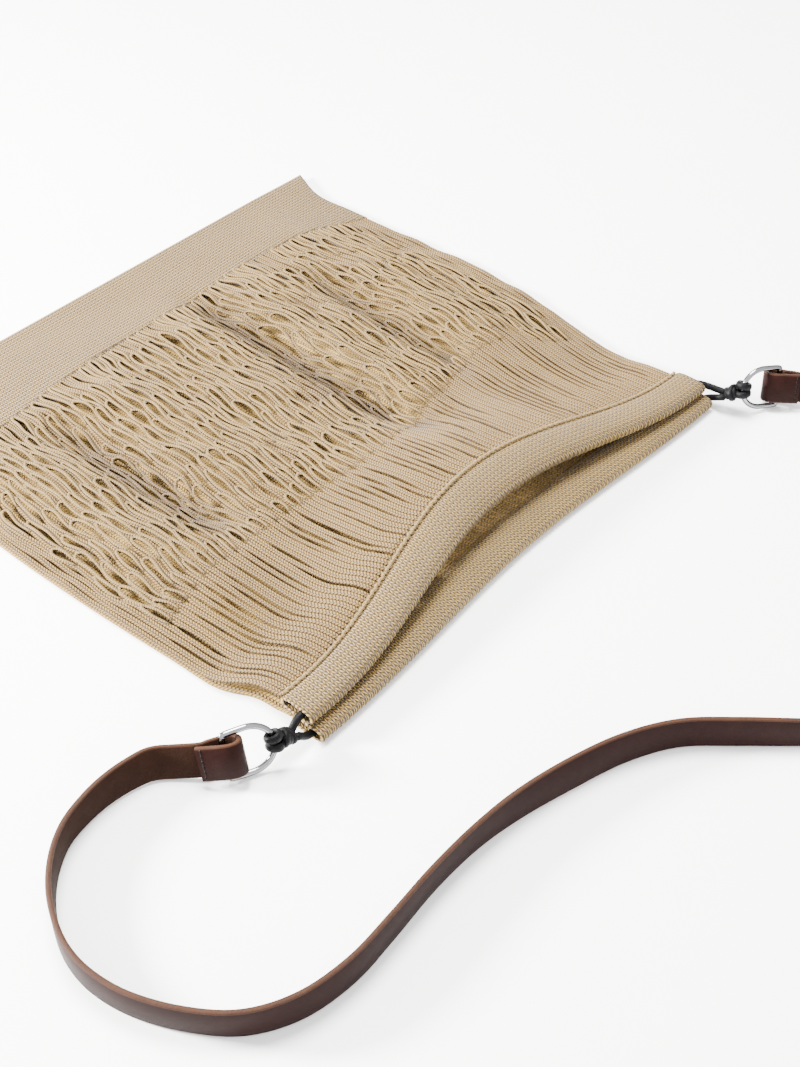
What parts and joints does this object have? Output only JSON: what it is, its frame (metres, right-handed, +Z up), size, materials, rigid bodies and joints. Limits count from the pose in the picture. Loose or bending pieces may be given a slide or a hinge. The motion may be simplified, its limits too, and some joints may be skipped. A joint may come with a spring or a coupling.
{
  "type": "openwork string shoulder bag",
  "caption": "Flat openwork string shoulder bag lying on its back, with a plain base band, a ribbed and hemmed mouth on a round cord, D-rings and a leather strap on its edge.",
  "frame": {"origin": "on the resting surface, below the middle of the whole object", "axes": "+X along the mouth towards the right ring, +Y from the mouth to the base, +Z up out of the resting surface"},
  "size_m": [0.6252, 0.6874, 0.0341],
  "materials": {
    "knit": "machine-knitted matt sand-coloured yarn, openwork in the middle",
    "cord": "round, smooth, nearly black",
    "chrome": "polished round wire",
    "leather": "dark brown grain side, rough brown flesh side, tan cut edges"
  },
  "bodies": {
    "root": {"back_panel": "knit", "front_panel": "knit", "cord_front": "cord", "cord_back": "cord", "hitch_left": "cord", "hitch_right": "cord", "ring_left": "chrome", "ring_right": "chrome", "strap": "leather"}
  },
  "joints": []
}
